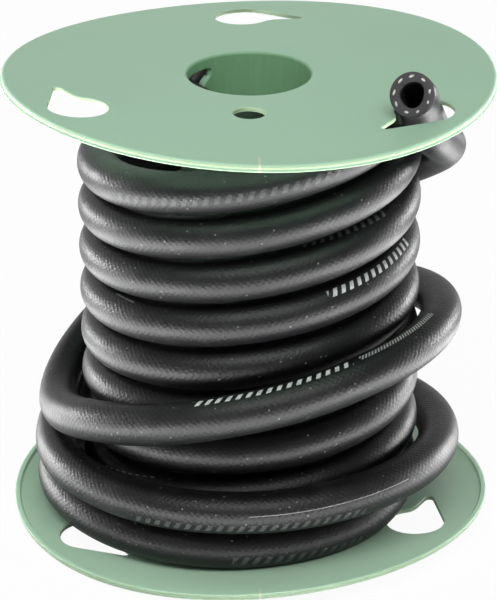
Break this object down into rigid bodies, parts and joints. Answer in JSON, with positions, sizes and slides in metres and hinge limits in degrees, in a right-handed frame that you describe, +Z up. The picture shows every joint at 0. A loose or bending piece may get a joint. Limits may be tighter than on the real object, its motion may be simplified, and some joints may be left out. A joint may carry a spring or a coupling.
{
  "type": "rubber gas tubing",
  "caption": "Length of thick black rubber fuel and gas tubing wound on a flanged green plastic spool with teardrop slots, its cut end standing out through one of them.",
  "frame": {"origin": "centre of the spool's base, on the outer face of the lower flange", "axes": "+Z up the bore, -Y towards the viewer, +X to the viewer's right, where the hose's cut end comes out of the upper flange"},
  "size_m": [0.1706, 0.1706, 0.1759],
  "materials": {
    "green_plastic": "satin",
    "black_rubber": "satin"
  },
  "bodies": {
    "root": {"spool": "green_plastic", "hose": "black_rubber"}
  },
  "joints": []
}
